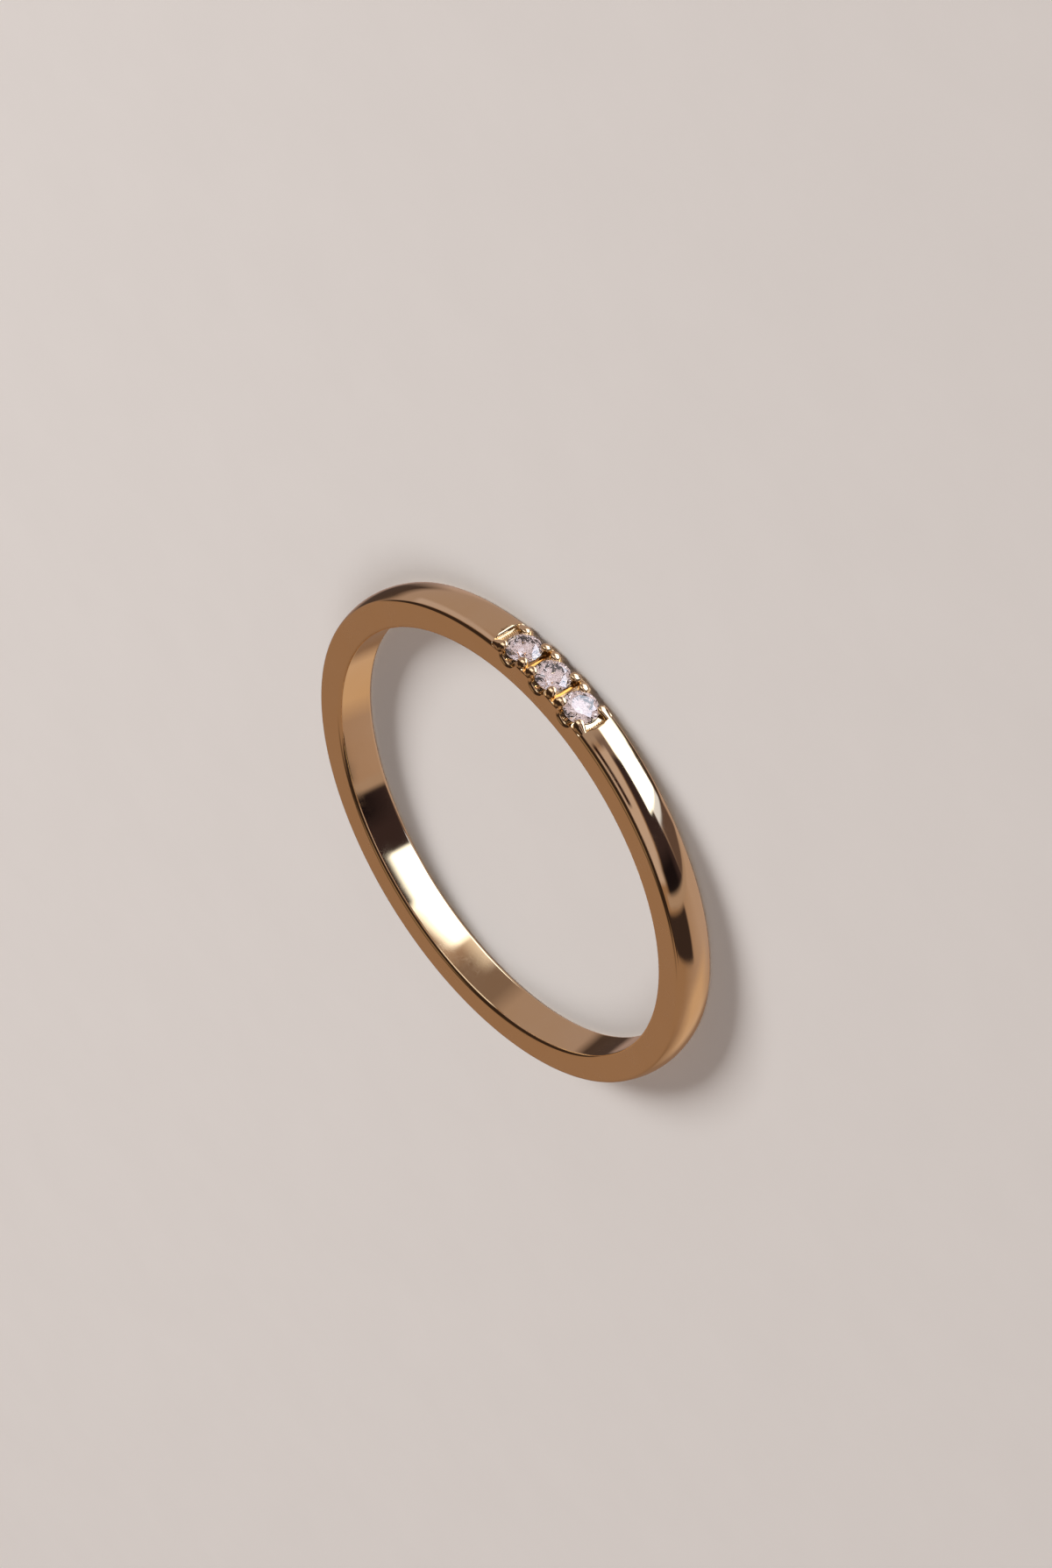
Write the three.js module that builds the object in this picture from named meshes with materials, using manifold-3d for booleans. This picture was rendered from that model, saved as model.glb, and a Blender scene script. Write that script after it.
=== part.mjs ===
// A slim gold stacking ring: one polished band with a low domed back, flat sides and rounded edges,
// and three small round brilliants set in line, each in a scalloped seat held by four claws.
// Millimetres, +Z up. The ring lies on its side, with the origin at the middle of the finger hole,
// level with the face it lies on, and the stones at the front, along -Y.
import * as THREE from "three";
import { ConvexGeometry } from "three/addons/geometries/ConvexGeometry.js";
import { mergeVertices } from "three/addons/utils/BufferGeometryUtils.js";
import Module from "manifold-3d";

// Band
const fingerDiameter = 17.0;
const bandWidth = 1.55; // along the finger
const bandThickness = 1.24; // from the finger to the crest of the dome
const domeRise = 0.19; // the crest above the edges of the dome
const fingerEdgeRound = 0.16; // eased edges of the finger hole
const domeEdgeRound = 0.09; // softened edge between each side and the dome
const bandSegments = 96;
const arcSteps = 3; // facets on each rounded edge
const domeSteps = 10;

// Stones
const stoneCount = 3;
const stoneDiameter = 1.3;
const stoneSpacing = 0.25; // between the edges of two stones, along the crest
const tableSink = 0.02; // the table below the crest of the dome
const tableShare = 0.6; // the table's width as a share of the stone's
const crownAngle = 34.5;
const pavilionAngle = 40.8;
const girdleThickness = 0.04;
const starShare = 0.55; // the reach of the star facets, from the table to the girdle
const halvesShare = 0.78; // the reach of the lower halves, from the girdle to the culet

// Setting
const settingGap = 0.02; // between a stone and the metal
const settingDrop = 0.22; // the setting's floor below the crest of the dome
const shoulderMargin = 0.18; // from the edge of an end stone to the foot of the shoulder
const shoulderLean = 0.14; // how far the shoulder leans back over its height
const pilotDiameter = 0.3; // clearance hole below the culet
const pilotDepth = 0.07;
const scallopWidth = 0.65; // the round notch under each stone, through both sides
const scallopDepth = 0.56; // below the crest of the dome
const grooveWidth = 0.24; // the V-shaped cut between the claws of two stones, at the crest
const grooveDepth = 0.27; // below the crest of the dome
const clawDiameter = 0.4;
const clawAngle = 47; // from the line of the stones
const clawOverlap = 0.07; // how far a claw reaches over the stone's edge
const clawSink = 0.02; // the claw's top below the crest of the dome
const clawRoot = 0.24; // the claw's post below its round top
const tailDiameter = 0.26; // the end claws run out into the dome and taper to this
const tailLength = 0.36;
const tailSink = 0.13; // the end of such a claw below the crest of the dome

const fingerRadius = fingerDiameter / 2;
const crestRadius = fingerRadius + bandThickness;
const stoneRadius = stoneDiameter / 2;
const stonePitch = stoneDiameter + stoneSpacing;
const clawRadius = clawDiameter / 2;
const middle = bandWidth / 2;
const beyond = bandThickness; // how far a cutter runs past the surface it leaves
const degrees = THREE.MathUtils.degToRad;

const goldMaterial = new THREE.MeshStandardMaterial({
  color: 0xd9a766,
  roughness: 0.12,
  metalness: 1,
});
const stoneMaterial = new THREE.MeshStandardMaterial({
  color: 0xeeeaf4,
  roughness: 0.03,
  metalness: 0,
});

const wasm = await Module();
wasm.setup();

// A three.js geometry as a solid, moved by a matrix if one is given.
function solidOf(geometry, matrix) {
  const plain = geometry.index ? geometry.toNonIndexed() : geometry.clone();
  plain.deleteAttribute("normal");
  plain.deleteAttribute("uv");
  if (matrix) plain.applyMatrix4(matrix);
  const merged = mergeVertices(plain, 1e-5);
  const corners = [];
  for (let i = 0; i < merged.index.count; i += 3) {
    const [a, b, c] = merged.index.array.slice(i, i + 3);
    if (a !== b && b !== c && c !== a) corners.push(a, b, c);
  }
  return new wasm.Manifold(
    new wasm.Mesh({
      numProp: 3,
      vertProperties: merged.attributes.position.array,
      triVerts: new Uint32Array(corners),
    }),
  );
}

function geometryOf(solid) {
  const mesh = solid.getMesh();
  const geometry = new THREE.BufferGeometry();
  geometry.setAttribute("position", new THREE.BufferAttribute(mesh.vertProperties, 3));
  geometry.setIndex(new THREE.BufferAttribute(mesh.triVerts, 1));
  geometry.computeVertexNormals();
  return geometry;
}

// A profile turned about the Z axis. The profile's x is the radius and its y the height.
function turned(profile, segments) {
  return new THREE.LatheGeometry(profile, segments).rotateX(Math.PI / 2);
}

// Points along an arc about (x, y), without its last point unless asked for.
function arc(x, y, radius, from, to, steps, withLast = true) {
  return Array.from({ length: withLast ? steps + 1 : steps }, (_, i) => {
    const angle = from + ((to - from) * i) / steps;
    return new THREE.Vector2(x + radius * Math.cos(angle), y + radius * Math.sin(angle));
  });
}

// The band's section. Its dome is one arc over the full width, blended into both flat sides.
function bandProfile() {
  const domeRadius = (middle ** 2 + domeRise ** 2) / (2 * domeRise);
  const domeCentre = crestRadius - domeRadius;
  const edgeHeight = middle - domeEdgeRound;
  const edgeReach = Math.sqrt((domeRadius - domeEdgeRound) ** 2 - edgeHeight ** 2);
  const edgeX = domeCentre + edgeReach;
  const edgeTurn = Math.atan2(edgeHeight, edgeReach);
  const fingerX = fingerRadius + fingerEdgeRound;
  const quarter = Math.PI / 2;
  const outline = [
    ...arc(edgeX, domeEdgeRound, domeEdgeRound, -quarter, -edgeTurn, arcSteps, false),
    ...arc(domeCentre, middle, domeRadius, -edgeTurn, edgeTurn, domeSteps, false),
    ...arc(edgeX, bandWidth - domeEdgeRound, domeEdgeRound, edgeTurn, quarter, arcSteps),
    ...arc(fingerX, bandWidth - fingerEdgeRound, fingerEdgeRound, quarter, 2 * quarter, arcSteps),
    ...arc(fingerX, fingerEdgeRound, fingerEdgeRound, 2 * quarter, 3 * quarter, arcSteps),
  ];
  return [...outline, outline[0].clone()];
}

// The heights of a stone's parts, from the plane of the girdle's upper edge.
const crownHeight = stoneRadius * (1 - tableShare) * Math.tan(degrees(crownAngle));
const pavilionDepth = stoneRadius * Math.tan(degrees(pavilionAngle));
const girdleLevel = crestRadius - tableSink - crownHeight; // distance from the ring's axis

// A round brilliant with its table towards +Z and its girdle's upper edge at the origin,
// grown on all sides by a clearance when it is used to trim the claws.
function brilliant(clearance = 0) {
  const radius = stoneRadius + clearance;
  const crown = crownHeight + clearance;
  const tableRadius = radius * tableShare;
  const girdleFoot = -girdleThickness - clearance;
  const culet = girdleFoot - pavilionDepth - clearance;
  const eighth = Math.PI / 4;
  const half = eighth / 2;
  const points = [];
  const ring = (count, r, turn, z) => {
    for (let i = 0; i < count; i++) {
      const angle = (i * 2 * Math.PI) / count + turn;
      points.push(new THREE.Vector3(r * Math.cos(angle), r * Math.sin(angle), z));
    }
  };
  const starReach = tableRadius * Math.cos(half) + (radius - tableRadius * Math.cos(half)) * starShare;
  const starDrop = (radius - starReach * Math.cos(half)) / (radius - tableRadius);
  const halvesReach = radius * (1 - halvesShare);
  const halvesDrop = 1 - (halvesReach * Math.cos(half)) / radius;
  ring(8, tableRadius, 0, crown);
  ring(8, starReach, half, crown * starDrop);
  ring(16, radius, 0, 0);
  ring(16, radius, 0, girdleFoot);
  ring(8, halvesReach, half, girdleFoot + (culet - girdleFoot) * halvesDrop);
  points.push(new THREE.Vector3(0, 0, culet));
  return new ConvexGeometry(points);
}

// The turn of a place along the line of stones, counted in pitches from the middle of the line.
function turnAt(pitches) {
  return (pitches * stonePitch) / crestRadius;
}

// The frame of a place on the band: X along the line of stones, Y along the finger, Z outwards.
function frameAt(pitches, radius) {
  const turn = new THREE.Matrix4().makeRotationZ(turnAt(pitches));
  const place = new THREE.Matrix4().makeTranslation(0, -radius, middle);
  const outwards = new THREE.Matrix4().makeRotationX(Math.PI / 2);
  return turn.multiply(place).multiply(outwards);
}

// A shape drawn in the X-Z plane of such a frame, extruded through both sides of the band.
function acrossBand(shape) {
  const length = bandWidth + 2 * beyond;
  const options = { depth: length, bevelEnabled: false, curveSegments: 12 };
  return new THREE.ExtrudeGeometry(shape, options).translate(0, 0, -length / 2).rotateX(Math.PI / 2);
}

// The drilled seat: a cone under the stone, a straight wall round its edge, and a pilot hole below.
function seatCutter() {
  const wall = stoneRadius + settingGap;
  const foot = -girdleThickness - settingGap;
  const tip = foot - wall * Math.tan(degrees(pavilionAngle));
  const pilotRadius = pilotDiameter / 2;
  const pilotTop = tip + pilotRadius * Math.tan(degrees(pavilionAngle));
  const outline = [
    [0, tip - pilotDepth],
    [pilotRadius, tip - pilotDepth],
    [pilotRadius, pilotTop],
    [wall, foot],
    [wall, beyond],
    [0, beyond],
  ];
  return turned(outline.map(([x, y]) => new THREE.Vector2(x, y)), 32);
}

// The scallop under a stone, seen along the finger: a slot with a round floor, open at the top.
function scallopCutter() {
  const radius = scallopWidth / 2;
  const floor = crestRadius - scallopDepth - girdleLevel;
  const shape = new THREE.Shape();
  shape.moveTo(radius, beyond);
  shape.lineTo(-radius, beyond);
  shape.lineTo(-radius, floor + radius);
  shape.absarc(0, floor + radius, radius, Math.PI, 2 * Math.PI, false);
  shape.lineTo(radius, beyond);
  return acrossBand(shape);
}

// The V-shaped cut between the claws of neighbouring stones.
function grooveCutter() {
  const widening = (grooveWidth / 2) * (1 + beyond / grooveDepth);
  const shape = new THREE.Shape();
  shape.moveTo(0, -grooveDepth);
  shape.lineTo(widening, beyond);
  shape.lineTo(-widening, beyond);
  shape.closePath();
  return acrossBand(shape);
}

// Lowers the dome over the whole setting. Its two ends are the shoulders, which lean back.
function floorCutter() {
  const half = turnAt((stoneCount - 1) / 2) + (stoneRadius + shoulderMargin) / crestRadius;
  const lean = shoulderLean / crestRadius;
  const floor = crestRadius - settingDrop;
  const rim = crestRadius + beyond;
  const rimLean = (lean * (rim - floor)) / settingDrop;
  const down = -Math.PI / 2;
  const at = (radius, turn) => [radius * Math.cos(down + turn), radius * Math.sin(down + turn)];
  const shape = new THREE.Shape();
  shape.moveTo(...at(floor, half));
  shape.lineTo(...at(rim, half + rimLean));
  shape.lineTo(...at(rim, -half - rimLean));
  shape.absarc(0, 0, floor, down - half, down + half, false);
  shape.closePath();
  const depth = bandWidth + 2 * beyond;
  return new THREE.ExtrudeGeometry(shape, { depth, bevelEnabled: false, curveSegments: 16 })
    .translate(0, 0, middle - depth / 2);
}

// One claw: a short round post with a round top over the stone's edge. With a tail it also runs
// along the line of stones, away from its stone, and sinks into the dome.
function claw(alongSide, acrossSide, hasTail) {
  const reach = stoneRadius + clawRadius - clawOverlap;
  const along = alongSide * reach * Math.cos(degrees(clawAngle));
  const across = acrossSide * reach * Math.sin(degrees(clawAngle));
  const height = crestRadius - clawSink - clawRadius - girdleLevel;
  const post = new THREE.CapsuleGeometry(clawRadius, clawRoot, 4, 14)
    .rotateX(Math.PI / 2)
    .translate(along, across, height - clawRoot / 2);
  if (!hasTail) return post;
  const tailRadius = tailDiameter / 2;
  const tailAlong = along + alongSide * tailLength;
  const tailDip = tailAlong ** 2 / (2 * crestRadius); // the dome falls away from the stone's level
  const tailHeight = crestRadius - tailSink - tailRadius - tailDip - girdleLevel;
  const tail = new THREE.SphereGeometry(tailRadius, 14, 8).translate(tailAlong, across, tailHeight);
  return new ConvexGeometry([...pointsOf(post), ...pointsOf(tail)]);
}

function pointsOf(geometry) {
  const positions = geometry.attributes.position;
  return Array.from({ length: positions.count }, (_, i) => {
    return new THREE.Vector3().fromBufferAttribute(positions, i);
  });
}

// Everything between the planes of the band's two sides, which the claws are cut flush with.
function betweenSides() {
  const outline = [
    [fingerRadius, 0],
    [crestRadius + beyond, 0],
    [crestRadius + beyond, bandWidth],
    [fingerRadius, bandWidth],
    [fingerRadius, 0],
  ];
  return turned(outline.map(([x, y]) => new THREE.Vector2(x, y)), bandSegments);
}

const stonePlaces = Array.from({ length: stoneCount }, (_, i) => (stoneCount - 1) / 2 - i);

function bandSolid() {
  let band = solidOf(turned(bandProfile(), bandSegments)).subtract(solidOf(floorCutter()));
  for (const place of stonePlaces) {
    band = band.subtract(solidOf(seatCutter(), frameAt(place, girdleLevel)));
  }
  const sides = solidOf(betweenSides());
  for (const place of stonePlaces) {
    const frame = frameAt(place, girdleLevel);
    for (const alongSide of [-1, 1]) {
      const hasTail = alongSide * place === (stoneCount - 1) / 2;
      for (const acrossSide of [-1, 1]) {
        const post = solidOf(claw(alongSide, acrossSide, hasTail), frame);
        band = band.add(post.intersect(sides));
      }
    }
  }
  for (const place of stonePlaces) {
    const frame = frameAt(place, girdleLevel);
    band = band.subtract(solidOf(scallopCutter(), frame));
    band = band.subtract(solidOf(brilliant(settingGap), frame));
  }
  for (let i = 1; i < stoneCount; i++) {
    const frame = frameAt(stoneCount / 2 - i, crestRadius);
    band = band.subtract(solidOf(grooveCutter(), frame));
  }
  return band;
}

const ring = new THREE.Group();

const band = new THREE.Mesh(geometryOf(bandSolid()), goldMaterial);
band.name = "band";
ring.add(band);

stonePlaces.forEach((place, i) => {
  const seat = new THREE.Group();
  seat.rotation.z = turnAt(place);
  const stone = new THREE.Mesh(brilliant(), stoneMaterial);
  stone.name = `stone_${i + 1}`;
  stone.position.set(0, -girdleLevel, middle);
  stone.rotation.x = Math.PI / 2;
  seat.add(stone);
  ring.add(seat);
});

export default ring;
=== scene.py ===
import bpy
import bmesh
import math
import random
from mathutils import Matrix, Vector


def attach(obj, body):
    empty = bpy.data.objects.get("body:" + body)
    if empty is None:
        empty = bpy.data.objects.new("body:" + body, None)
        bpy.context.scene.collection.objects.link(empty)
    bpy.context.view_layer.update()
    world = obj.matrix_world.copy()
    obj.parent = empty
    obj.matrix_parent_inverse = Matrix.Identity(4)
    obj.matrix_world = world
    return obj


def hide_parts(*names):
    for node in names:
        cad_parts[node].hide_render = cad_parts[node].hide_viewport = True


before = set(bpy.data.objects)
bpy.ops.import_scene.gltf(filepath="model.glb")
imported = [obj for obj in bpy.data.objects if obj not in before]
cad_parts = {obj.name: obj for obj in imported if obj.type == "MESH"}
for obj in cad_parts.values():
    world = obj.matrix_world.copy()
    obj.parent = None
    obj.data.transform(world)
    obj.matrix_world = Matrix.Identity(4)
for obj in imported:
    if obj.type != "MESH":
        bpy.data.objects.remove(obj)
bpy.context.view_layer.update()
mm = 0.001  # meshes are made in millimetres and scaled once at the end
mergeDistance = 1e-6  # in millimetres
scene = bpy.context.scene
print("frame loaded:", list(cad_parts))


class Value:
    # wraps a node's output, so that plain expressions on it add Math nodes
    def __init__(self, graph, socket):
        self.graph, self.socket = graph, socket

    def maths(self, operation, *others, clamp=False):
        settings = {"operation": operation, "use_clamp": clamp}
        return self.graph.node("ShaderNodeMath", settings, dict(enumerate((self, *others))))

    def __add__(self, other): return self.maths("ADD", other)
    def __radd__(self, other): return self.maths("ADD", other)
    def __sub__(self, other): return self.maths("SUBTRACT", other)
    def __rsub__(self, other): return self * -1 + other
    def __mul__(self, other): return self.maths("MULTIPLY", other)
    def __rmul__(self, other): return self.maths("MULTIPLY", other)
    def __abs__(self): return self.maths("ABSOLUTE")
    def clamped(self): return self.maths("ADD", 0.0, clamp=True)
    def most(self, other): return self.maths("MAXIMUM", other)


class Graph:
    def __init__(self, tree):
        self.tree = tree
        tree.nodes.clear()

    def node(self, kind, settings=None, inputs=None, output=0):
        made = self.tree.nodes.new(kind)
        for name, setting in (settings or {}).items():
            setattr(made, name, setting)
        for name, given in (inputs or {}).items():
            socket = made.inputs[name]
            if isinstance(given, Value):
                self.tree.links.new(given.socket, socket)
            elif isinstance(given, tuple) and len(given) == 3 and socket.type == "RGBA":
                socket.default_value = (*given, 1)
            else:
                socket.default_value = given
        return Value(self, made.outputs[output]) if made.outputs else made

    def scaled(self, vector, factors):
        settings = {"operation": "MULTIPLY"}
        return self.node("ShaderNodeVectorMath", settings, {0: vector, 1: factors})

    def blended(self, first, second, amount):
        settings = {"data_type": "RGBA", "blend_type": "MIX"}
        return self.node("ShaderNodeMix", settings, {0: amount, 6: first, 7: second}, 2)

    def noise(self, vector, scale, detail=3.0, roughness=0.5):
        inputs = {"Vector": vector, "Scale": scale, "Detail": detail, "Roughness": roughness}
        return self.node("ShaderNodeTexNoise", {}, inputs)

    def parts(self, vector):
        split = self.node("ShaderNodeSeparateXYZ", {}, {0: vector})
        return [Value(self, split.socket.node.outputs[i]) for i in range(3)]


def newMaterial(name):
    material = bpy.data.materials.new(name)
    material.use_nodes = True
    return material, Graph(material.node_tree)


def placeInMillimetres(graph):
    place = graph.node("ShaderNodeTexCoord", {}, {}, "Object")
    return graph.scaled(place, (1000.0, 1000.0, 1000.0))


def inScene(name, data):
    made = bpy.data.objects.new(name, data)
    scene.collection.objects.link(made)
    return made


def meshFrom(name, points, faces):
    mesh = bpy.data.meshes.new(name)
    mesh.from_pydata([tuple(point) for point in points], [], faces)
    mesh.validate()
    return inScene(name, mesh)


def meshFromBmesh(name, work):
    bmesh.ops.recalc_face_normals(work, faces=work.faces)
    mesh = bpy.data.meshes.new(name)
    work.to_mesh(mesh)
    work.free()
    return inScene(name, mesh)


def carve(target, tool, operation="DIFFERENCE"):
    modifier = target.modifiers.new("carve", "BOOLEAN")
    modifier.operation, modifier.solver, modifier.object = operation, "MANIFOLD", tool
    shaped = target.evaluated_get(bpy.context.evaluated_depsgraph_get())
    mesh = bpy.data.meshes.new_from_object(shaped)
    target.modifiers.clear()
    target.data = mesh
    bpy.data.objects.remove(tool)


def facedOutwards(piece, merged=False):
    work = bmesh.new()
    work.from_mesh(piece.data)
    if merged:
        bmesh.ops.remove_doubles(work, verts=work.verts, dist=mergeDistance)
        bmesh.ops.dissolve_degenerate(work, dist=mergeDistance / 10, edges=work.edges)
    bmesh.ops.recalc_face_normals(work, faces=work.faces)
    work.to_mesh(piece.data)
    work.free()
    return piece


def lathed(name, profile, segments):
    # profile points are (radius, height) and close on themselves, or start and end on the axis
    points, faces = [], []
    onAxis = profile[0][0] == 0
    count = len(profile)
    for i in range(segments):
        turn = 2 * math.pi * i / segments
        points += [(r * math.cos(turn), r * math.sin(turn), h) for r, h in profile]
    for i in range(segments):
        a, b = i * count, ((i + 1) % segments) * count
        for k in range(count - 1 if onAxis else count):
            n = (k + 1) % count
            faces.append((a + k, b + k, b + n, a + n))
    return facedOutwards(meshFrom(name, points, faces), merged=True)


def lofted(name, sections):
    # equal outlines joined one after another and capped at both ends
    count = len(sections[0])
    points = [point for section in sections for point in section]
    faces = [tuple(range(count)), tuple(reversed(range(len(points) - count, len(points))))]
    for s in range(len(sections) - 1):
        for k in range(count):
            n = (k + 1) % count
            low, high = s * count, (s + 1) * count
            faces.append((low + n, low + k, high + k, high + n))
    return facedOutwards(meshFrom(name, points, faces))


def arc(x, y, radius, start, end, steps, withLast=True):
    turns = [start + (end - start) * i / steps for i in range(steps + (1 if withLast else 0))]
    return [(x + radius * math.cos(t), y + radius * math.sin(t)) for t in turns]


def dressed(piece, name, material, nodeName, sharpAngle=30):
    # into metres, smooth apart from real edges, and standing for its node
    piece.name = name
    piece.data.name = name
    piece.data.transform(Matrix.Scale(mm, 4))
    piece.data.materials.clear()
    piece.data.materials.append(material)
    piece.data.shade_smooth()
    piece.data.set_sharp_from_angle(angle=math.radians(sharpAngle))
    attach(piece, "root")
    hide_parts(nodeName)
    print(name, "has", sum(len(p.vertices) - 2 for p in piece.data.polygons), "triangles")
    return piece


goldLook = {
    "colour": (0.93, 0.69, 0.39),
    "wornColour": (0.96, 0.75, 0.47),
    "polish": 0.045,
    "sideSatin": 0.13,
    "cloudScale": 0.9,  # noise scales are per millimetre
    "fineScale": 14.0,
    "scratchStretches": ((2.0, 60.0, 3.0), (55.0, 3.0, 2.0), (3.0, 4.0, 70.0)),
    "scratchPatchScale": 0.55,
    "scratchDepth": 0.0000006,  # in metres
}


def makeGold():
    material, graph = newMaterial("paleYellowGold")
    place = placeInMillimetres(graph)
    normal = graph.node("ShaderNodeTexCoord", {}, {}, "Normal")
    side = ((abs(graph.parts(normal)[2]) - 0.9) * 12.0).clamped()  # the two flat sides
    cloud = graph.noise(place, goldLook["cloudScale"], 4.0)
    fine = graph.noise(place, goldLook["fineScale"], 5.0, 0.6)
    lines = []
    for stretch in goldLook["scratchStretches"]:
        streak = graph.noise(graph.scaled(place, stretch), 1.0, 2.0, 0.4)
        lines.append((1 - abs(streak - 0.5) * 38.0).clamped())
    patches = ((graph.noise(place, goldLook["scratchPatchScale"], 2.0) - 0.46) * 7.0).clamped()
    scratches = (lines[0].most(lines[1]).most(lines[2]) * patches).clamped()
    roughness = (goldLook["polish"] + side * (goldLook["sideSatin"] - goldLook["polish"])
                 + cloud * 0.02 + fine * 0.012 + scratches * 0.14)
    worn = (cloud * 0.7 + scratches * 0.5).clamped()
    colour = graph.blended(goldLook["colour"], goldLook["wornColour"], worn)
    height = cloud * 0.5 + fine * 0.05 - scratches * 0.35
    bump = graph.node("ShaderNodeBump", {}, {
        "Strength": 0.35, "Distance": goldLook["scratchDepth"], "Height": height})
    shader = graph.node("ShaderNodeBsdfPrincipled", {}, {
        "Base Color": colour, "Metallic": 1.0, "Roughness": roughness, "Normal": bump})
    graph.node("ShaderNodeOutputMaterial", {}, {"Surface": shader})
    return material


stoneSizes = {
    "radius": 0.65,
    "tableShare": 0.6,
    "crownAngle": 34.5,
    "pavilionAngle": 40.8,
    "girdle": 0.04,
    "starShare": 0.55,
    "halvesShare": 0.78,
    "tableSink": 0.02,
    "spacing": 0.25,
    "girdleSteps": 96,
    "turns": (11.0, 2.0, 19.0),  # each stone sits at its own turn in its seat
}

stoneLook = {
    "colour": (0.985, 0.955, 0.975),
    "ior": 2.42,
    "polish": 0.004,
    "clearness": 0.94,  # a little milk evens out the darkest facets
    "hazeColour": (0.95, 0.91, 0.94),
    "hazeScale": 7.0,
    "speckScale": 22.0,
    "hazeDepth": 0.0000004,
}


def cutStone(name):
    # a round blank cut by its facet planes, table upwards, girdle's upper edge at zero
    sizes = stoneSizes
    radius = sizes["radius"]
    crown = radius * (1 - sizes["tableShare"]) * math.tan(math.radians(sizes["crownAngle"]))
    foot = -sizes["girdle"]
    culet = foot - radius * math.tan(math.radians(sizes["pavilionAngle"]))
    table = radius * sizes["tableShare"]
    half = math.pi / 8
    starReach = table * math.cos(half) + (radius - table * math.cos(half)) * sizes["starShare"]
    starHeight = crown * (radius - starReach * math.cos(half)) / (radius - table)
    lowReach = radius * (1 - sizes["halvesShare"])
    lowHeight = foot + (culet - foot) * (1 - lowReach * math.cos(half) / radius)
    work = bmesh.new()
    bmesh.ops.create_cone(work, cap_ends=True, segments=sizes["girdleSteps"], radius1=radius,
                          radius2=radius, depth=crown - culet + 0.02)
    bmesh.ops.translate(work, verts=work.verts, vec=(0, 0, (crown + culet) / 2))

    def at(reach, turn, height):
        return Vector((reach * math.cos(turn), reach * math.sin(turn), height))

    def facet(a, b, c):
        normal = (b - a).cross(c - a).normalized()
        middle = Vector((0, 0, (crown + culet) / 2))
        if normal.dot(a - middle) < 0:
            normal = -normal
        geometry = work.verts[:] + work.edges[:] + work.faces[:]
        cut = bmesh.ops.bisect_plane(work, geom=geometry, plane_co=a, plane_no=normal,
                                     dist=1e-7, clear_outer=True)
        rim = [e for e in cut["geom_cut"] if isinstance(e, bmesh.types.BMEdge)]
        if rim:
            bmesh.ops.contextual_create(work, geom=rim)

    facet(at(table, 0, crown), at(table, 2, crown), at(table, 4, crown))
    for i in range(8):
        turn = i * 2 * half
        side = Vector((-math.sin(turn), math.cos(turn), 0))
        facet(at(table, turn, crown), at(radius, turn, 0), at(radius, turn, 0) + side)
    for i in range(8):
        turn = i * 2 * half
        tip = at(starReach, turn + half, starHeight)
        facet(at(table, turn, crown), at(table, turn + 2 * half, crown), tip)
    for i in range(8):
        turn = i * 2 * half
        tip = at(starReach, turn + half, starHeight)
        facet(at(radius, turn, 0), at(radius, turn + half, 0), tip)
        facet(at(radius, turn + half, 0), at(radius, turn + 2 * half, 0), tip)
    for i in range(8):
        turn = i * 2 * half
        side = Vector((-math.sin(turn), math.cos(turn), 0))
        facet(at(radius, turn, foot), at(0, 0, culet), at(0, 0, culet) + side)
    for i in range(8):
        turn = i * 2 * half
        tip = at(lowReach, turn + half, lowHeight)
        facet(at(radius, turn, foot), at(radius, turn + half, foot), tip)
        facet(at(radius, turn + half, foot), at(radius, turn + 2 * half, foot), tip)
    return meshFromBmesh(name, work)


def makeStoneGlass():
    material, graph = newMaterial("clearWhiteStone")
    place = placeInMillimetres(graph)
    haze = graph.noise(place, stoneLook["hazeScale"], 4.0)
    specks = ((graph.noise(place, stoneLook["speckScale"], 2.0) - 0.72) * 9.0).clamped()
    roughness = stoneLook["polish"] + haze * 0.006 + specks * 0.12
    colour = graph.blended(stoneLook["colour"], stoneLook["hazeColour"], (haze * 0.6).clamped())
    bump = graph.node("ShaderNodeBump", {}, {
        "Strength": 0.15, "Distance": stoneLook["hazeDepth"], "Height": haze})
    shader = graph.node("ShaderNodeBsdfPrincipled", {}, {
        "Base Color": colour, "Roughness": roughness, "IOR": stoneLook["ior"],
        "Transmission Weight": stoneLook["clearness"], "Normal": bump})
    graph.node("ShaderNodeOutputMaterial", {}, {"Surface": shader})
    return material


bandSizes = {
    "finger": 8.5,
    "width": 1.55,
    "thickness": 1.24,
    "domeRise": 0.19,
    "fingerEdge": 0.16,
    "domeEdge": 0.16,
    "around": 480,
    "domeSteps": 36,
    "edgeSteps": 10,
    "settingDrop": 0.22,
    "shoulderMargin": 0.18,
    "shoulderLeans": (0.03, 0.06),  # the -X end is the steeper one
    "shoulderRound": 0.15,  # the rounded top edge of each shoulder
    "scallopWidth": 0.65,
    "scallopDepth": 0.56,
    "scallopEdge": 0.13,
    "grooveWidth": 0.18,  # at the floor of the setting
    "grooveDepth": 0.15,  # below that floor
    "grooveFoot": 0.02,  # half its width at the bottom
    # the groove's places across the band, each with its share of the depth
    "grooveRun": ((-0.73, 0.08), (-0.42, 1.0), (0.42, 1.0), (0.73, 0.08)),
    "pilot": 0.15,
    "pilotDepth": 0.07,
    "seatGap": 0.02,
    "stoneGap": 0.006,
}

clawSizes = {
    "radius": 0.2,
    "angle": 47.0,
    "overlap": 0.07,
    "sink": 0.02,
    "root": 0.24,
    "lean": 0.035,
    "capWide": 0.93,
    "capFlat": 0.45,
    "capTilt": 13.0,  # the caps carry on the dome
    "tailRadius": 0.13,
    "tailLength": 0.36,
    "tailSink": 0.13,
}

grainSizes = {"radius": 0.033, "pitch": 0.08, "from": -0.5, "to": 0.55}

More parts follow.
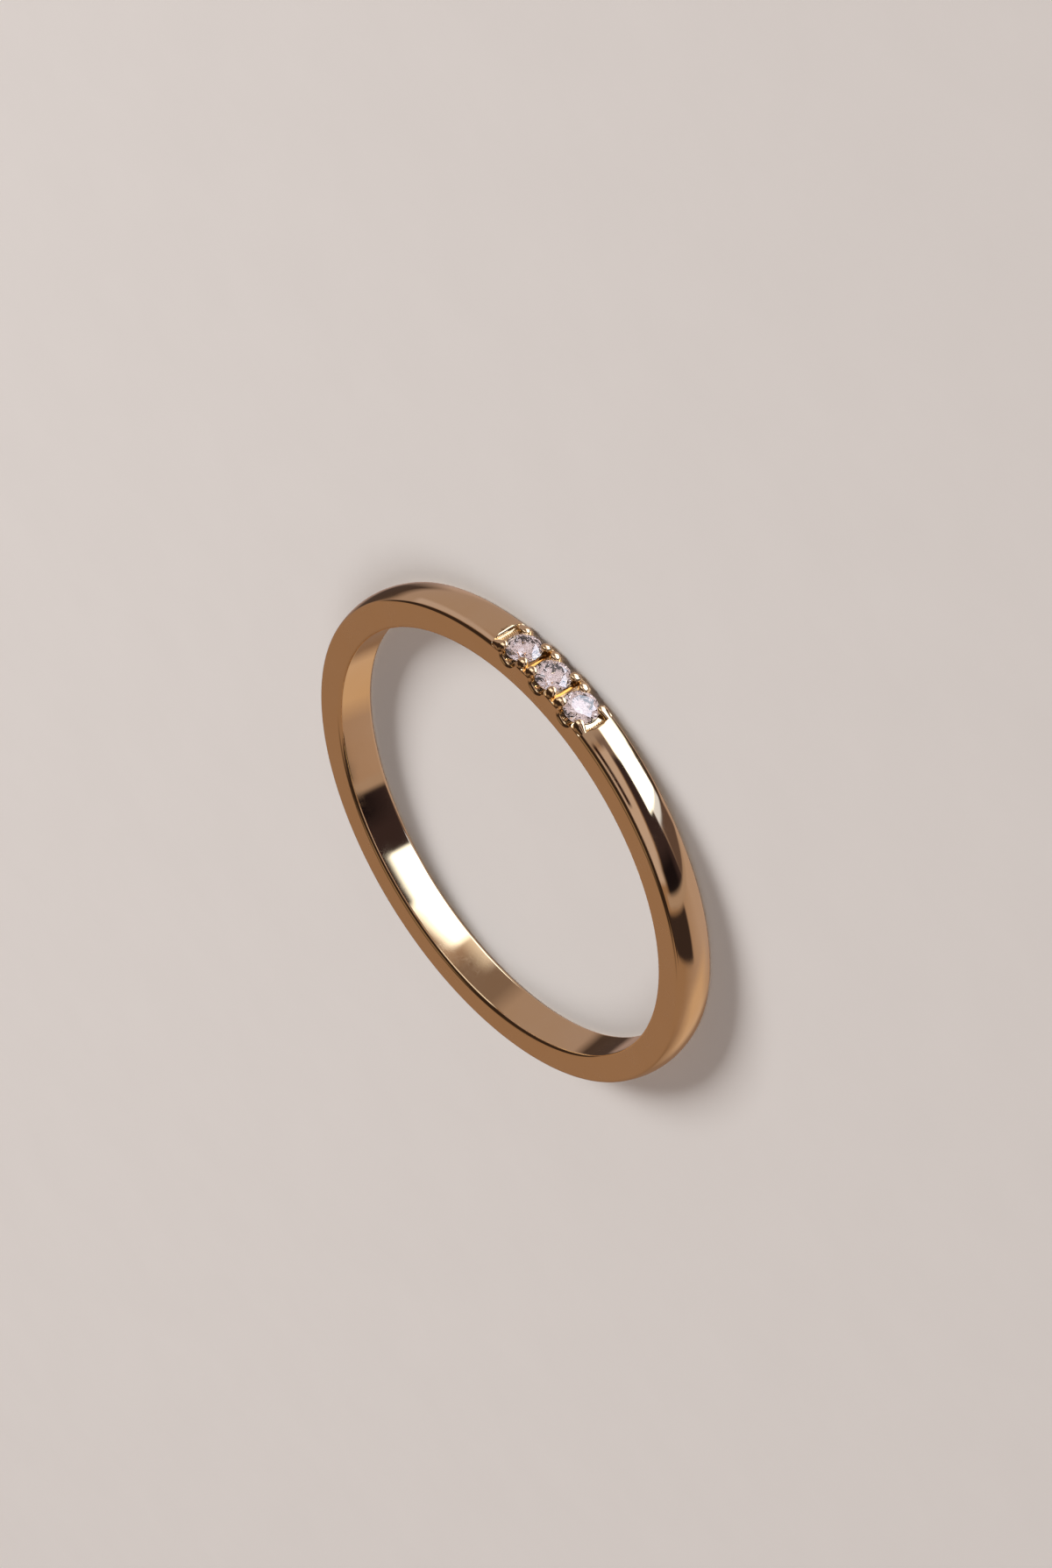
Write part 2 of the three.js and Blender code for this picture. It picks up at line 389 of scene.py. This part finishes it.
crest = bandSizes["finger"] + bandSizes["thickness"]
middle = bandSizes["width"] / 2
pitch = 2 * stoneSizes["radius"] + stoneSizes["spacing"]
crownHeight = (stoneSizes["radius"] * (1 - stoneSizes["tableShare"])
               * math.tan(math.radians(stoneSizes["crownAngle"])))
girdleLevel = crest - stoneSizes["tableSink"] - crownHeight
domeRadius = (middle ** 2 + bandSizes["domeRise"] ** 2) / (2 * bandSizes["domeRise"])
domeCentre = crest - domeRadius
settingHalf = pitch + stoneSizes["radius"] + bandSizes["shoulderMargin"]


def frameAt(places, radius):
    # x along the line of stones, y along the finger, z outwards
    turn = Matrix.Rotation(places * pitch / crest, 4, "Z")
    return turn @ Matrix.Translation((0, -radius, middle)) @ Matrix.Rotation(math.pi / 2, 4, "X")


def bandProfile():
    sizes = bandSizes
    edge, steps, quarter = sizes["domeEdge"], sizes["edgeSteps"], math.pi / 2
    edgeHeight = middle - edge
    edgeReach = math.sqrt((domeRadius - edge) ** 2 - edgeHeight ** 2)
    edgeX, turn = domeCentre + edgeReach, math.atan2(edgeHeight, edgeReach)
    fingerEdge = sizes["fingerEdge"]
    fingerX = sizes["finger"] + fingerEdge
    top = sizes["width"]
    return (arc(edgeX, edge, edge, -quarter, -turn, steps, False)
            + arc(domeCentre, middle, domeRadius, -turn, turn, sizes["domeSteps"], False)
            + arc(edgeX, top - edge, edge, turn, quarter, steps)
            + arc(fingerX, top - fingerEdge, fingerEdge, quarter, 2 * quarter, steps)
            + arc(fingerX, fingerEdge, fingerEdge, 2 * quarter, 3 * quarter, steps))


def settingFloor():
    # its two ends lean outwards and roll over into the dome
    sizes = bandSizes
    foot = settingHalf
    floor, roll, down = crest - sizes["settingDrop"], sizes["shoulderRound"], -math.pi / 2
    ends = []
    for end, lean in ((1, sizes["shoulderLeans"][1]), (-1, sizes["shoulderLeans"][0])):
        wall = [(foot + lean, crest - roll)]
        wall += [(foot + lean + roll - roll * math.cos(a), crest - roll + roll * math.sin(a))
                 for a in [math.pi / 2 * i / 8 for i in range(1, 8)]]
        wall += [(foot + lean + roll + 0.35, crest + 0.06), (foot + lean + roll + 0.35, crest + 1)]
        turned = [(down + end * along / crest, level) for along, level in wall]
        ends.append([(level * math.cos(turn), level * math.sin(turn)) for turn, level in turned])
    base = arc(0, 0, floor, down + foot / crest, down - foot / crest, 64)
    outline = ends[0][::-1] + base + ends[1]
    return lofted("floorTool", [[(x, y, z) for x, y in outline] for z in (-1, sizes["width"] + 1)])


def seat():
    gap, slope = bandSizes["seatGap"], math.tan(math.radians(stoneSizes["pavilionAngle"]))
    wall = stoneSizes["radius"] + gap
    foot = -stoneSizes["girdle"] - gap
    tip = foot - wall * slope
    pilot = bandSizes["pilot"]
    profile = [(0, tip - bandSizes["pilotDepth"]), (pilot, tip - bandSizes["pilotDepth"]),
               (pilot, tip + pilot * slope), (wall, foot), (wall, 1), (0, 1)]
    return lathed("seatTool", profile, 96)


def scallop():
    # a slot with a round floor, its edges rounded over where it leaves the two sides
    sizes = bandSizes
    half, edge = sizes["scallopWidth"] / 2, sizes["scallopEdge"]
    centre = crest - sizes["scallopDepth"] - girdleLevel + half

    def section(y, grown):
        wide = half + grown
        line = [(wide, 1), (-wide, 1)] + arc(0, centre, wide, math.pi, 2 * math.pi, 32)
        return [(x, y, z) for x, z in line]

    steps = [(middle - edge + edge * math.sin(a), edge * (1 - math.cos(a)))
             for a in [math.pi / 2 * i / 8 for i in range(9)]]
    out = steps + [(middle + 0.3, edge)]
    left = [section(-y, grown) for y, grown in reversed(out)]
    return lofted("scallopTool", left + [section(y, grown) for y, grown in out])


def groove():
    # a notch below the setting's floor between two stones, which runs out before the sides
    floor, half = bandSizes["settingDrop"], bandSizes["grooveWidth"] / 2
    point = bandSizes["grooveFoot"]
    sections = []
    for y, share in bandSizes["grooveRun"]:
        foot = -floor - bandSizes["grooveDepth"] * share
        outline = [(half, 1), (-half, 1), (-half, -floor), (-point, foot), (point, foot),
                   (half, -floor)]
        sections.append([(x, y, z) for x, z in outline])
    return lofted("grooveTool", sections)


def hullOfBalls(name, balls):
    # each ball is its centre, its radius, how flat it is and how it tilts
    work = bmesh.new()
    for centre, radius, flat, tilt in balls:
        place = Matrix.Translation(centre) @ Matrix.Rotation(tilt, 4, "X")
        bmesh.ops.create_uvsphere(work, u_segments=40, v_segments=24, radius=radius,
                                  matrix=place @ Matrix.Diagonal((1, 1, flat, 1)))
    loose = bmesh.new()
    for vert in work.verts:
        loose.verts.new(vert.co)
    work.free()
    hull = bmesh.ops.convex_hull(loose, input=loose.verts)
    inside = {g for g in hull["geom_interior"] + hull["geom_unused"]
              if isinstance(g, bmesh.types.BMVert)}
    bmesh.ops.delete(loose, geom=list(inside), context="VERTS")
    return meshFromBmesh(name, loose)


def claw(alongSide, acrossSide, hasTail, luck):
    sizes = clawSizes
    radius = sizes["radius"] * luck.uniform(0.94, 1.0)
    reach = stoneSizes["radius"] + sizes["radius"] - sizes["overlap"]
    angle = math.radians(sizes["angle"] + luck.uniform(-1.5, 0))
    along, across = alongSide * math.cos(angle), acrossSide * math.sin(angle)
    top = crest - sizes["sink"] - girdleLevel + luck.uniform(-0.012, 0.006)
    lean = sizes["lean"] * luck.uniform(0.6, 1.3)
    capRadius, capFlat = radius * sizes["capWide"], sizes["capFlat"]
    capReach = reach - lean - (radius - capRadius)
    tilt = -acrossSide * math.radians(sizes["capTilt"] * luck.uniform(0.85, 1.15))
    cap = Vector((along * capReach, across * capReach, top - capRadius * capFlat))
    collar = Vector((along * reach, across * reach, top - sizes["root"] * 0.6))
    root = Vector((along * reach, across * reach, top - radius - sizes["root"]))
    balls = [(cap, capRadius, capFlat, tilt), (collar, radius, 0.6, tilt), (root, radius, 1, 0)]
    if hasTail:  # an end claw runs back into its shoulder
        tailAlong = along * reach + alongSide * sizes["tailLength"]
        dip = tailAlong ** 2 / (2 * crest)
        tailHeight = crest - sizes["tailSink"] - sizes["tailRadius"] - dip - girdleLevel
        balls.append((Vector((tailAlong, across * reach, tailHeight)), sizes["tailRadius"], 1, 0))
    return hullOfBalls("clawTool", balls)


def grains(luck):
    # the row of tiny bright grains along the foot of each shoulder
    sizes, work = grainSizes, bmesh.new()
    half = settingHalf / crest
    level = crest - bandSizes["settingDrop"] + sizes["radius"] * 0.4
    for end in (-1, 1):
        across = sizes["from"]
        while across < sizes["to"]:
            turn = -math.pi / 2 + end * (half - luck.uniform(0, 0.03) / crest)
            centre = (level * math.cos(turn), level * math.sin(turn), middle + across)
            bmesh.ops.create_uvsphere(work, u_segments=16, v_segments=10,
                                      radius=sizes["radius"] * luck.uniform(0.75, 1.05),
                                      matrix=Matrix.Translation(centre))
            across += sizes["pitch"] * luck.uniform(0.9, 1.15)
    return meshFromBmesh("grains", work)


def makeBand(material):
    luck = random.Random(7)
    band = lathed("band", bandProfile(), bandSizes["around"])
    carve(band, settingFloor())
    places = (1, 0, -1)

    def placed(tool, matrix):
        tool.data.transform(matrix)
        return tool

    for place in places:
        carve(band, placed(seat(), frameAt(place, girdleLevel)))
    for place in (0.5, -0.5):
        carve(band, placed(groove(), frameAt(place, crest)))
    for place in places:
        for alongSide in (-1, 1):
            for acrossSide in (-1, 1):
                post = claw(alongSide, acrossSide, alongSide == place, luck)
                carve(band, placed(post, frameAt(place, girdleLevel)), "UNION")
    for place in places:
        carve(band, placed(scallop(), frameAt(place, girdleLevel)))
        stone = cutStone("stoneTool")
        stone.data.transform(Matrix.Scale(1 + bandSizes["stoneGap"] / stoneSizes["radius"], 4))
        carve(band, placed(stone, frameAt(place, girdleLevel)))
    carve(band, grains(luck), "UNION")
    print("band carved:", len(band.data.polygons), "faces")
    return dressed(band, "goldBand", material, "band")


gold = makeGold()
clear = makeStoneGlass()
makeBand(gold)

for index, place in enumerate((1, 0, -1)):
    stone = cutStone("stone")
    stone.data.transform(Matrix.Rotation(math.radians(stoneSizes["turns"][index]), 4, "Z"))
    stone.data.transform(frameAt(place, girdleLevel))
    dressed(stone, f"brilliant{index + 1}", clear, f"stone_{index + 1}", sharpAngle=1)
print("pieces made")


floorLook = {"colour": (0.80, 0.765, 0.74), "grainColour": (0.765, 0.73, 0.705), "size": 2.0}


def makeFloor():
    material, graph = newMaterial("paleFloor")
    place = placeInMillimetres(graph)
    grain = graph.noise(place, 0.25, 6.0, 0.6)
    colour = graph.blended(floorLook["colour"], floorLook["grainColour"], grain)
    shader = graph.node("ShaderNodeBsdfPrincipled", {}, {"Base Color": colour, "Roughness": 0.85})
    graph.node("ShaderNodeOutputMaterial", {}, {"Surface": shader})
    half = floorLook["size"]
    corners = [(-half, -half, 0), (half, -half, 0), (half, half, 0), (-half, half, 0)]
    floor = meshFrom("floor", corners, [(0, 1, 2, 3)])
    floor.data.materials.append(material)
    floor.visible_glossy = False  # the metal and the stones see the studio, not the floor
    floor.visible_transmission = False


# What the polished metal sees. Bearings are degrees from the stones' side, right positive, and
# heights are degrees above the floor. A lean moves an edge by that much for each degree along it.
studio = {
    "backdrop": (0.70, 0.65, 0.615),
    "lowTone": (0.44, 0.34, 0.33),
    "highTone": (0.302, 0.192, 0.138),
    "stoneTone": (1.24, 0.99, 0.955),  # a pale tent round the stones evens their sparkle
    "stoneShare": 0.76,
    "cards": (
        {"name": "back brown", "bearing": (150, 200), "height": (-45, 14),
         "tone": (0.25, 0.155, 0.105), "soft": 20},
        {"name": "back brown, left", "bearing": (-200, -150), "height": (-45, 14),
         "tone": (0.25, 0.155, 0.105), "soft": 20},
        {"name": "left glow", "bearing": (-170, -128), "height": (-42, -16),
         "tone": (0.56, 0.40, 0.30), "soft": 14},
        {"name": "ceiling left", "bearing": (-112, 35), "height": (18, 100),
         "tone": (0.03, 0.019, 0.015), "soft": 5},
        {"name": "ceiling right", "bearing": (35, 112), "height": (6.5, 100),
         "lowLean": -0.28, "tone": (0.035, 0.022, 0.018), "soft": 5},
        {"name": "ceiling back", "bearing": (-181, 181), "height": (52, 100),
         "tone": (0.03, 0.019, 0.015), "soft": 14},
        {"name": "overhead", "bearing": (-181, 181), "height": (69, 100),
         "tone": (0.25, 0.17, 0.115), "soft": 9},
        {"name": "right wall", "bearing": (36, 108), "height": (-60, 1),
         "tone": (0.37, 0.285, 0.275), "soft": 12},
        {"name": "near right", "bearing": (14, 46), "height": (-60, 2),
         "tone": (0.21, 0.155, 0.145), "soft": 10},
        {"name": "right screen", "bearing": (48, 94), "height": (-4.6, 4.4),
         "lowLean": -0.29, "highLean": -0.29, "tone": (0.47, 0.39, 0.42), "soft": 3.5},
        {"name": "right shade", "bearing": (107, 136), "height": (-34, -9),
         "tone": (0.065, 0.045, 0.042), "soft": 9},
        {"name": "front grey", "bearing": (-12, 6), "height": (-22, 19),
         "tone": (0.35, 0.28, 0.28), "soft": 6},
        {"name": "front shade", "bearing": (-22, -9), "height": (-24, -3),
         "tone": (0.18, 0.135, 0.14), "soft": 4},
        {"name": "front pale", "bearing": (-73, -14), "height": (-3.5, 18),
         "lowLean": -0.22, "tone": (0.51, 0.42, 0.44), "soft": 3},
        {"name": "front slot", "bearing": (-39, -11), "height": (7.5, 13.5),
         "tone": (0.022, 0.008, 0.006), "soft": 2.5},
        {"name": "left dark", "bearing": (-83, -19), "height": (-34, -4),
         "highLean": -0.20, "lowLean": 0.17, "tone": (0.036, 0.024, 0.03), "soft": 3.5},
        {"name": "left deep", "bearing": (-81, -64), "height": (-28, 3),
         "tone": (0.010, 0.007, 0.010), "soft": 8},
        {"name": "left brown", "bearing": (-84, -50), "height": (-70, -37),
         "tone": (0.11, 0.075, 0.075), "soft": 4},
        {"name": "left strip", "bearing": (-86, -80), "height": (-66, 9),
         "leftLean": 0.06, "rightLean": 0.06, "tone": (0.38, 0.29, 0.27), "soft": 3},
        {"name": "left edge", "bearing": (-107, -86.5), "height": (-22, 30),
         "leftLean": 0.28, "tone": (0.037, 0.025, 0.026), "soft": 3.5},
        {"name": "under dark", "bearing": (-62, 62), "height": (-100, -66),
         "tone": (0.05, 0.033, 0.028), "soft": 5},
        {"name": "claw spark", "bearing": (3, 42), "height": (-9, 12),
         "tone": (1.3, 1.3, 1.4), "soft": 5},
        {"name": "card glow", "bearing": (0, 27), "height": (-66, -29.5),
         "tone": (1.0, 0.95, 1.0), "soft": 6},
        {"name": "white card, under", "bearing": (-10, 50), "height": (-70, -40),
         "tone": (2.0, 2.2, 2.6), "soft": 6},
        {"name": "white card, low", "bearing": (-54, -38), "height": (-66, -34),
         "tone": (0.75, 0.87, 1.25), "soft": 3},
        {"name": "white card", "bearing": (-46, -16), "height": (-66, -23.8),
         "tone": (2.2, 2.5, 3.1), "soft": 2.5},
        {"name": "white card, right", "bearing": (-20, 8), "height": (-68, -23.5),
         "highLean": -0.12, "tone": (2.2, 2.4, 2.8), "soft": 4},
    ),
}


def makeStudio():
    world = bpy.data.worlds.new("studio")
    world.use_nodes = True
    scene.world = world
    graph = Graph(world.node_tree)
    look = graph.node("ShaderNodeTexCoord", {}, {}, "Generated")
    x, y, z = graph.parts(look)
    bearing = x.maths("ARCTAN2", 0 - y) * math.degrees(1)
    height = z.maths("ARCSINE") * math.degrees(1)
    clouds = graph.noise(look, 2.2, 2.0)

    def past(distance, soft):
        return (distance * (1 / soft) + 0.5).clamped()

    rising = (height * 0.025 + clouds * 0.3 + 0.95).clamped()
    colour = graph.blended(studio["lowTone"], studio["highTone"], rising)
    for card in studio["cards"]:
        (left, right), (low, high), soft = card["bearing"], card["height"], card["soft"]
        along, rise = bearing - (left + right) / 2, height - (low + high) / 2
        mask = (past(bearing - left - rise * card.get("leftLean", 0), soft)
                * past(rise * card.get("rightLean", 0) + right - bearing, soft)
                * past(height - low - along * card.get("lowLean", 0), soft)
                * past(along * card.get("highLean", 0) + high - height, soft))
        colour = graph.blended(colour, card["tone"], mask)
    through = graph.node("ShaderNodeLightPath", {}, {}, "Is Transmission Ray")
    colour = graph.blended(colour, studio["stoneTone"], through * studio["stoneShare"])
    seen = graph.node("ShaderNodeLightPath", {}, {}, "Is Camera Ray")
    colour = graph.blended(colour, studio["backdrop"], seen)
    light = graph.node("ShaderNodeBackground", {}, {"Color": colour, "Strength": 1.0})
    graph.node("ShaderNodeOutputWorld", {}, {"Surface": light})


lamps = (
    {"name": "key", "place": (0.4, -0.05, 0.3), "size": 0.22, "power": 2.2},
    {"name": "fill", "place": (-0.25, 0.1, 0.45), "size": 0.4, "power": 0.8},
)


def makeLamps():
    for lamp in lamps:
        data = bpy.data.lights.new(lamp["name"], "AREA")
        data.size, data.energy = lamp["size"], lamp["power"]
        made = inScene(lamp["name"], data)
        made.location = lamp["place"]
        made.rotation_euler = Vector(lamp["place"]).to_track_quat("Z", "Y").to_euler()
        made.visible_glossy = False


# The photograph's own place and tilt, in millimetres.
view = {
    "place": (-77.277, -175.126, 100.989),
    "right": (-0.64119, -0.15061, -0.75246),
    "up": (0.6768, -0.57315, -0.462),
    "back": (-0.36169, -0.80549, 0.46944),
    "lens": 7000 / 1789 * 36,
}


def makeCamera():
    data = bpy.data.cameras.new("camera")
    data.lens, data.sensor_width, data.sensor_fit = view["lens"], 36, "AUTO"
    data.clip_start, data.clip_end = 0.005, 20
    made = inScene("camera", data)
    matrix = Matrix.Identity(4)
    for column, name in enumerate(("right", "up", "back")):
        matrix.col[column] = Vector((*view[name], 0))
    matrix.col[3] = Vector((*[part * mm for part in view["place"]], 1))
    made.matrix_world = matrix
    scene.camera = made


makeFloor()
makeStudio()
makeLamps()
makeCamera()
scene.view_settings.view_transform = "Standard"
print("floor, light and camera set")
